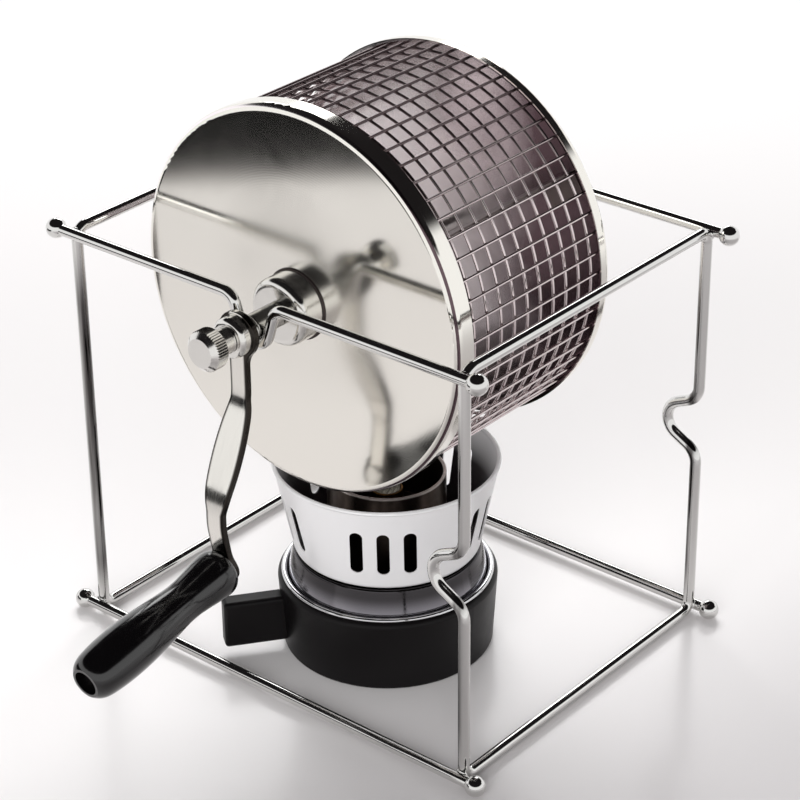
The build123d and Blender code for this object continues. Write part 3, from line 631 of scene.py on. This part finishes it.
def wick_cotton(rgb, charred):
    """Twisted cotton yarn: matt and fibrous, burnt black at its end."""
    material, tree, place = new_material("cotton_yarn_twisted")
    height = add(tree, "ShaderNodeSeparateXYZ", {"Vector": place}).outputs["Z"]
    low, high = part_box("wick")
    fibres = add(tree, "ShaderNodeTexNoise", {"Vector": place, "Scale": per(0.4), "Detail": 4.0})
    ragged = add(tree, "ShaderNodeMath", {
        0: fibres.outputs["Fac"], 1: 3 * MM, 2: height}, operation="MULTIPLY_ADD")
    burnt = add(tree, "ShaderNodeMapRange", {
        "Value": ragged.outputs["Value"], "From Min": high.z - 3 * MM, "From Max": high.z + 0.5 * MM})
    tint = add(tree, "ShaderNodeMix", {
        0: burnt.outputs["Result"], 6: opaque(rgb), 7: opaque(charred)}, data_type="RGBA")
    bump = add(tree, "ShaderNodeBump", {
        "Height": fibres.outputs["Fac"], "Strength": 0.6, "Distance": 0.1 * MM})
    surface(tree, {
        "Base Color": tint.outputs[2], "Roughness": 0.95, "Sheen Weight": 0.2,
        "Normal": bump.outputs["Normal"]})
    return material


# How finely the added pieces are divided, and how the wick is laid

WELD_DETAIL = 3
NUGGET_DETAIL, NUGGET_FLATNESS = 1, 0.6
HUB_WELD_SIDES, HUB_WELD_STEPS = 10, 96
STRAND_SIDES, STRAND_STEPS = 8, 44
STRANDS_IN_RINGS = (1, 6, 12)
UNEVEN_CUT = 1.6 * MM
WICK_SEED = 7


# Building blocks for pieces

def paint(material, *nodes):
    """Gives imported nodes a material."""
    for node in nodes:
        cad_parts[node].material_slots[0].material = material


def new_piece(name, mesh, body, material, replaced=()):
    """Turns a bmesh into a smooth-shaded piece that rides on a body."""
    data = bpy.data.meshes.new(name)
    mesh.to_mesh(data)
    mesh.free()
    data.shade_smooth()
    data.materials.append(material)
    piece = bpy.data.objects.new(name, data)
    bpy.context.scene.collection.objects.link(piece)
    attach(piece, body)
    if replaced:
        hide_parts(*replaced)
    return piece


def lump(mesh, place, along, spread, height, detail):
    """Adds a flattened bead of metal at a place, thin along one direction."""
    turn = along.to_track_quat("Z", "Y").to_matrix().to_4x4()
    size = Matrix.Diagonal((spread, spread, height, 1.0))
    bmesh.ops.create_icosphere(
        mesh, subdivisions=detail, radius=1.0, matrix=Matrix.Translation(place) @ turn @ size)


def stand_welds(sizes):
    """Eight beads where the cross wires are welded to the side loops."""
    mesh = bmesh.new()
    loop_low, loop_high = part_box("left_side_loop")
    reach = sizes.wire_radius + sizes.bend_radius
    bends_y = (loop_low.y + reach, loop_high.y - reach)
    bends_z = (loop_low.z + reach, loop_high.z - reach)
    sides_x = (loop_low.x + sizes.wire_radius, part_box("right_side_loop")[1].x - sizes.wire_radius)
    wires = (
        ("front_bottom_wire", 0, 0), ("rear_bottom_wire", 1, 0),
        ("front_top_wire", 0, 1), ("rear_top_wire", 1, 1),
    )
    for node, end, level in wires:
        low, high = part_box(node)
        wire_z = high.z - sizes.wire_radius if level else low.z + sizes.wire_radius
        wire = Vector((0, (low.y + high.y) / 2, wire_z))
        bend = Vector((0, bends_y[end], bends_z[level]))
        outwards = (wire - bend).normalized()
        touch = wire - outwards * sizes.wire_radius
        for x in sides_x:
            place = touch + Vector((x, 0, 0))
            lump(mesh, place, outwards, sizes.weld_spread, sizes.weld_height, WELD_DETAIL)
    return mesh


def mesh_welds(sizes):
    """Weld where each straight mesh wire crosses each hoop."""
    mesh = bmesh.new()
    bars_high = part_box("mesh_bars")[1]
    hoops_low, hoops_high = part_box("mesh_hoops")
    wire = bars_high.z - hoops_high.z
    radius = hoops_high.z - DRUM_AXIS.z
    first = hoops_low.y + wire / 2
    pitch = (hoops_high.y - hoops_low.y - wire) / (sizes.hoop_count - 1)
    for i in range(sizes.bar_count):
        turn = sizes.bar_angle + 2 * pi * i / sizes.bar_count
        outwards = Vector((sin(turn), 0, cos(turn)))
        for j in range(sizes.hoop_count):
            place = Vector((0, first + pitch * j, DRUM_AXIS.z)) + outwards * radius
            lump(mesh, place, outwards, sizes.nugget, NUGGET_FLATNESS * sizes.nugget, NUGGET_DETAIL)
    return mesh


def hub_welds(sizes):
    """Bead round the foot of each hub where it is welded to its cap."""
    mesh = bmesh.new()
    for node, end in (("front_hub", 1), ("rear_hub", 0)):
        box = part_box(node)
        radius = (box[1].x - box[0].x) / 2
        foot = Vector((DRUM_AXIS.x, box[end].y, DRUM_AXIS.z))
        place = Matrix.Translation(foot + Vector((radius, 0, 0)))
        circle = bmesh.ops.create_circle(
            mesh, radius=sizes.hub_weld, segments=HUB_WELD_SIDES, matrix=place)
        edges = list({edge for vert in circle["verts"] for edge in vert.link_edges})
        bmesh.ops.spin(
            mesh, geom=edges + circle["verts"], cent=foot, axis=(0, 1, 0), angle=2 * pi,
            steps=HUB_WELD_STEPS, use_merge=True, use_duplicate=False)
    bmesh.ops.recalc_face_normals(mesh, faces=mesh.faces)
    return mesh


def wick_strands(sizes):
    """Nineteen strands in two rings round a middle one, twisted together and cut unevenly at the top."""
    mesh = bmesh.new()
    low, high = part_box("wick")
    axis = (low + high) / 2
    chance = random.Random(WICK_SEED)
    for ring, count in enumerate(STRANDS_IN_RINGS):
        for i in range(count):
            top = high.z - chance.uniform(0.0, UNEVEN_CUT)
            rise = (top - low.z) / STRAND_STEPS
            twist = 2 * pi * (top - low.z) / sizes.strand_lay
            around = 2 * pi * i / count
            out = 2 * sizes.strand_radius * ring
            place = Matrix.Translation((axis.x + out * cos(around), axis.y + out * sin(around), low.z))
            circle = bmesh.ops.create_circle(
                mesh, cap_ends=True, radius=sizes.strand_radius, segments=STRAND_SIDES, matrix=place)
            edges = list({edge for vert in circle["verts"] for edge in vert.link_edges})
            faces = list({face for vert in circle["verts"] for face in vert.link_faces})
            bmesh.ops.spin(
                mesh, geom=edges + faces + circle["verts"], cent=axis, axis=(0, 0, 1), dvec=(0, 0, rise),
                angle=twist, steps=STRAND_STEPS, use_merge=False, use_duplicate=False)
    bmesh.ops.recalc_face_normals(mesh, faces=mesh.faces)
    return mesh


# Operators, one for each group of like pieces

class ROASTER_OT_wire_stand(bpy.types.Operator):
    """Finish the wire stand and add its weld beads"""
    bl_idname = "roaster.wire_stand"
    bl_label = "Wire Stand"

    def execute(self, context):
        finish = context.scene.roaster_finish
        # The darker colour is painted dark reflection in streaks on the posts.
        steel = polished_wire(
            "steel_wire_polished_nickel_plated", finish.stand, finish.stand_painted_dark, painted_dark_posts, 0.13)
        paint(steel, *STAND_NODES)
        new_piece("stand_welds", stand_welds(context.scene.roaster_sizes), "stand", steel)
        return {"FINISHED"}


class ROASTER_OT_end_caps(bpy.types.Operator):
    """Finish the drum's two end caps"""
    bl_idname = "roaster.end_caps"
    bl_label = "End Caps"

    def execute(self, context):
        finish = context.scene.roaster_finish
        sheet = polished_cap_sheet(finish.cap, finish.cap_inside_painted_pale, finish.cap_inside_painted_dark)
        paint(sheet, "front_end_cap", "rear_end_cap")
        return {"FINISHED"}


class ROASTER_OT_drum_mesh(bpy.types.Operator):
    """Finish the drum's wire mesh and weld its crossings"""
    bl_idname = "roaster.drum_mesh"
    bl_label = "Drum Mesh"

    def execute(self, context):
        finish = context.scene.roaster_finish
        # The darker colour paints a dark reflection along the top of the mesh.
        steel = polished_wire("steel_mesh_wire_bright", finish.mesh, finish.mesh_painted_dark, painted_dark_top, 0.16)
        paint(steel, "mesh_bars", "mesh_hoops")
        new_piece("mesh_welds", mesh_welds(context.scene.roaster_sizes), "drum", steel)
        return {"FINISHED"}


class ROASTER_OT_stirring_vanes(bpy.types.Operator):
    """Finish the vanes inside the drum"""
    bl_idname = "roaster.stirring_vanes"
    bl_label = "Stirring Vanes"

    def execute(self, context):
        finish = context.scene.roaster_finish
        paint(plain_sheet("steel_sheet_mill_finish", finish.vane, 0.34), "stirring_vanes")
        return {"FINISHED"}


class ROASTER_OT_turned_pieces(bpy.types.Operator):
    """Finish the shaft, hubs, collars, grip pin, thumb screw and bushes, and weld the hubs on"""
    bl_idname = "roaster.turned_pieces"
    bl_label = "Turned Pieces"

    def execute(self, context):
        finish = context.scene.roaster_finish
        paint(turned_steel("free_cutting_steel_turned_buffed", finish.turned, 0.1), *TURNED_NODES)
        bronze = turned_steel("bearing_bronze_nickel_plated_turned", finish.bush, 0.16)
        paint(bronze, "front_bush", "rear_bush")
        welds = hub_welds(context.scene.roaster_sizes)
        new_piece("hub_welds", welds, "drum", weld_bead(finish.weld))
        return {"FINISHED"}


class ROASTER_OT_crank_arm(bpy.types.Operator):
    """Finish the crank arm"""
    bl_idname = "roaster.crank_arm"
    bl_label = "Crank Arm"

    def execute(self, context):
        finish = context.scene.roaster_finish
        paint(polished_strip(finish.arm, finish.arm_shaded_edge, context.scene.roaster_sizes), "crank_arm")
        return {"FINISHED"}


class ROASTER_OT_grip(bpy.types.Operator):
    """Finish the grip"""
    bl_idname = "roaster.grip"
    bl_label = "Grip"

    def execute(self, context):
        paint(glossy_moulding(context.scene.roaster_finish.grip), "grip")
        return {"FINISHED"}


class ROASTER_OT_burner_base(bpy.types.Operator):
    """Finish the burner's base, bezel and tank"""
    bl_idname = "roaster.burner_base"
    bl_label = "Burner Base"

    def execute(self, context):
        finish = context.scene.roaster_finish
        paint(satin_moulding(finish.base), "burner_base")
        paint(bright_ring(finish.bezel), "burner_bezel")
        paint(tank_sheet(finish.tank, finish.tank_painted_shade), "fuel_tank")
        return {"FINISHED"}


class ROASTER_OT_windshield(bpy.types.Operator):
    """Finish the burner's windshield"""
    bl_idname = "roaster.windshield"
    bl_label = "Windshield"

    def execute(self, context):
        finish = context.scene.roaster_finish
        paint(shield_sheet(finish.shield, finish.soot, context.scene.roaster_sizes), "windshield")
        return {"FINISHED"}


class ROASTER_OT_burner_cup(bpy.types.Operator):
    """Finish the burner cup and wick tube, and twist the wick"""
    bl_idname = "roaster.burner_cup"
    bl_label = "Burner Cup and Wick"

    def execute(self, context):
        finish = context.scene.roaster_finish
        paint(scorched_sheet(finish.cup, finish.scorch, finish.cup_rim_highlight), "burner_cup")
        paint(drawn_brass(finish.brass, finish.tarnish), "wick_tube")
        cotton = wick_cotton(finish.cotton, finish.char)
        strands = wick_strands(context.scene.roaster_sizes)
        new_piece("wick_strands", strands, "burner", cotton, replaced=["wick"])
        return {"FINISHED"}


# Stage: angles over the floor, distances from its middle, and each lamp's width, depth and place in metres

PAPER_TOP, ROOM_START = radians(23), radians(29)
SOFT_LIGHT = 0.35
FLOOR_SIDE, FLOOR_DROP = 8.0, 0.1 * MM
PAPER_FROM, PAPER_TO = 0.3, 0.8
SHADED_TURN, SHADED_TO = radians(30), 0.16
KEY_LAMP = (0.9, 0.32, (-0.68, 0.81, 0.77))
FRONT_LAMP = (0.9, 0.5, (0.5, -1.0, 0.5))
TOP_LAMP = (0.7, 0.7, (-0.6, 0.7, 1.05))
FLAG_DIRECTION = Vector((-0.66, -0.75, 0))
FLAG_DISTANCE, FLAG_WIDTH, FLAG_HEIGHT = 0.464, 0.4, 0.1
FLAG_FADE = 11 * MM


def seen_rays(tree):
    """1 for rays from the camera and for those that metal and glass send on, 0 for soft light."""
    path = add(tree, "ShaderNodeLightPath").outputs
    mirrored = add(tree, "ShaderNodeMath", {
        0: path["Is Camera Ray"], 1: path["Is Glossy Ray"]}, operation="MAXIMUM")
    return add(tree, "ShaderNodeMath", {
        0: mirrored.outputs["Value"], 1: path["Is Transmission Ray"]}, operation="MAXIMUM").outputs["Value"]


def towards(tree, place, azimuth, near, far):
    """0 up to a near distance in a direction along the floor, rising to 1 at a far one."""
    out = (sin(azimuth), -cos(azimuth), 0)
    reach = add(tree, "ShaderNodeVectorMath", {0: place, 1: out}, operation="DOT_PRODUCT")
    return add(tree, "ShaderNodeMapRange", {
        "Value": reach.outputs["Value"], "From Min": near, "From Max": far},
        interpolation_type="SMOOTHSTEP").outputs["Result"]


def studio_world(stage):
    """White paper round the set up to about 25 degrees and a dim room above it."""
    world = bpy.data.worlds.new("studio")
    world.use_nodes = True
    tree = world.node_tree
    tree.nodes.clear()
    direction = add(tree, "ShaderNodeTexCoord").outputs["Generated"]
    height = add(tree, "ShaderNodeSeparateXYZ", {"Vector": direction}).outputs["Z"]
    rise = add(tree, "ShaderNodeMapRange", {
        "Value": height, "From Min": sin(PAPER_TOP), "From Max": sin(ROOM_START)},
        interpolation_type="SMOOTHSTEP")
    room = add(tree, "ShaderNodeMix", {
        0: rise.outputs["Result"], 6: opaque(stage.backdrop), 7: opaque(stage.room)}, data_type="RGBA")
    shown = add(tree, "ShaderNodeBackground", {"Color": room.outputs[2], "Strength": 1.0})
    soft = add(tree, "ShaderNodeBackground", {"Color": opaque(stage.backdrop), "Strength": SOFT_LIGHT})
    mix = add(tree, "ShaderNodeMixShader", {
        0: seen_rays(tree), 1: soft.outputs["Background"], 2: shown.outputs["Background"]})
    add(tree, "ShaderNodeOutputWorld", {"Surface": mix.outputs["Shader"]})
    bpy.context.scene.world = world


def floor_laminate(stage):
    """Pale laminate with a weak gloss, greyer at the front right, running out into white paper."""
    material, tree, place = new_material("pale_laminate_satin")
    distance = add(tree, "ShaderNodeVectorMath", {0: place}, operation="LENGTH").outputs["Value"]
    far = add(tree, "ShaderNodeMapRange", {
        "Value": distance, "From Min": PAPER_FROM, "From Max": PAPER_TO}, interpolation_type="SMOOTHSTEP")
    shaded = towards(tree, place, stage.azimuth + SHADED_TURN, 0.0, SHADED_TO)
    share = add(tree, "ShaderNodeMath", {
        0: far.outputs["Result"], 1: seen_rays(tree)}, operation="MULTIPLY")
    tint = add(tree, "ShaderNodeMix", {
        0: shaded, 6: opaque(stage.floor), 7: opaque(stage.floor_front)}, data_type="RGBA")
    near = add(tree, "ShaderNodeBsdfPrincipled", {"Base Color": tint.outputs[2], "Roughness": 0.22})
    paper = add(tree, "ShaderNodeEmission", {"Color": opaque(stage.backdrop), "Strength": 1.0})
    mix = add(tree, "ShaderNodeMixShader", {
        0: share.outputs["Value"], 1: near.outputs["BSDF"], 2: paper.outputs["Emission"]})
    add(tree, "ShaderNodeOutputMaterial", {"Surface": mix.outputs["Shader"]})
    return material


def stage_sheet(name, material, place, width, depth):
    """Flat sheet that belongs to the set."""
    mesh = bmesh.new()
    size = Matrix.Diagonal((width, depth, 1, 1))
    bmesh.ops.create_grid(mesh, x_segments=1, y_segments=1, size=0.5, matrix=place @ size)
    data = bpy.data.meshes.new(name)
    mesh.to_mesh(data)
    mesh.free()
    data.materials.append(material)
    sheet = bpy.data.objects.new(name, data)
    bpy.context.scene.collection.objects.link(sheet)
    return sheet


def matt_flag():
    """Felt of the flag that darkens a reflection: white at its lower edge, black above."""
    material, tree, place = new_material("black_felt")
    fibres = add(tree, "ShaderNodeTexNoise", {"Vector": place, "Scale": per(2), "Detail": 2.0})
    height = add(tree, "ShaderNodeSeparateXYZ", {"Vector": place}).outputs["Z"]
    ragged = add(tree, "ShaderNodeMath", {
        0: fibres.outputs["Fac"], 1: 2 * MM, 2: height}, operation="MULTIPLY_ADD")
    fade = add(tree, "ShaderNodeMapRange", {
        "Value": ragged.outputs["Value"], "From Min": 0.0, "From Max": FLAG_FADE})
    tint = add(tree, "ShaderNodeMix", {
        0: fade.outputs["Result"], 6: opaque(linear("#F0EEEE")), 7: opaque(linear("#0E0E0F"))},
        data_type="RGBA")
    surface(tree, {"Base Color": tint.outputs[2], "Roughness": 1.0})
    return material


def soft_lamp(name, power, width, depth, place, target):
    """Rectangular soft lamp that points at a target."""
    light = bpy.data.lights.new(name, "AREA")
    light.shape = "RECTANGLE"
    light.size = width
    light.size_y = depth
    light.energy = power
    lamp = bpy.data.objects.new(name, light)
    lamp.location = place
    lamp.rotation_euler = (Vector(target) - Vector(place)).to_track_quat("-Z", "Y").to_euler()
    bpy.context.scene.collection.objects.link(lamp)
    return lamp


def photo_camera(stage):
    """Camera that looks at the roaster from the photograph's angle."""
    data = bpy.data.cameras.new("camera")
    data.lens = stage.lens
    data.sensor_width = 36.0
    camera = bpy.data.objects.new("camera", data)
    turn = Matrix.Rotation(stage.azimuth, 4, "Z") @ Matrix.Rotation(pi / 2 - stage.elevation, 4, "X")
    turn = turn @ Matrix.Rotation(stage.roll, 4, "Z")
    back = Matrix.Translation((0, 0, stage.distance))
    camera.matrix_world = Matrix.Translation(stage.aim) @ turn @ back
    bpy.context.scene.collection.objects.link(camera)
    bpy.context.scene.camera = camera


class ROASTER_OT_stage(bpy.types.Operator):
    """Set up the floor, room, lamps and camera"""
    bl_idname = "roaster.stage"
    bl_label = "Studio Stage"

    def execute(self, context):
        stage = context.scene.roaster_stage
        context.scene.view_settings.view_transform = "Standard"
        studio_world(stage)
        under = Matrix.Translation((0, 0, -FLOOR_DROP))
        stage_sheet("floor", floor_laminate(stage), under, FLOOR_SIDE, FLOOR_SIDE)
        target = (0, 0, (CAD_BOX[0][2] + CAD_BOX[1][2]) / 2)
        soft_lamp("key_lamp", stage.key, *KEY_LAMP, target)
        # These two light the floor and the matt pieces only.
        front = soft_lamp("front_lamp", stage.front, *FRONT_LAMP, target)
        front.visible_glossy = False
        top = soft_lamp("top_lamp", stage.top, *TOP_LAMP, target)
        top.visible_glossy = False
        # A black flag on the left darkens what the top of the front cap mirrors.
        upright = FLAG_DIRECTION.to_track_quat("Z", "Y").to_matrix().to_4x4()
        place = Matrix.Translation(FLAG_DIRECTION * FLAG_DISTANCE + Vector((0, 0, FLAG_HEIGHT / 2)))
        flag = stage_sheet("flag", matt_flag(), place @ upright, FLAG_WIDTH, FLAG_HEIGHT)
        flag.visible_camera = False
        flag.visible_diffuse = False
        flag.visible_shadow = False
        photo_camera(stage)
        return {"FINISHED"}


class ROASTER_PT_sidebar(bpy.types.Panel):
    """Lists the roaster's operators"""
    bl_label = "Coffee Roaster"
    bl_space_type = "VIEW_3D"
    bl_region_type = "UI"
    bl_category = "Roaster"

    def draw(self, context):
        for operator in OPERATORS:
            self.layout.operator(operator.bl_idname)


SETTINGS = {"roaster_finish": RoasterFinish, "roaster_sizes": RoasterSizes, "roaster_stage": RoasterStage}
OPERATORS = (
    ROASTER_OT_wire_stand,
    ROASTER_OT_end_caps,
    ROASTER_OT_drum_mesh,
    ROASTER_OT_stirring_vanes,
    ROASTER_OT_turned_pieces,
    ROASTER_OT_crank_arm,
    ROASTER_OT_grip,
    ROASTER_OT_burner_base,
    ROASTER_OT_windshield,
    ROASTER_OT_burner_cup,
    ROASTER_OT_stage,
)


def register():
    """Registers the settings, operators and panel."""
    for name, group in SETTINGS.items():
        bpy.utils.register_class(group)
        setattr(bpy.types.Scene, name, PointerProperty(type=group))
    for item in (*OPERATORS, ROASTER_PT_sidebar):
        bpy.utils.register_class(item)


def unregister():
    """Takes the settings, operators and panel away again."""
    for item in (ROASTER_PT_sidebar, *reversed(OPERATORS)):
        bpy.utils.unregister_class(item)
    for name, group in SETTINGS.items():
        delattr(bpy.types.Scene, name)
        bpy.utils.unregister_class(group)


def main():
    """Builds everything in order."""
    register()
    for operator in OPERATORS:
        group, name = operator.bl_idname.split(".")
        getattr(getattr(bpy.ops, group), name)()


if __name__ == "__main__":
    main()
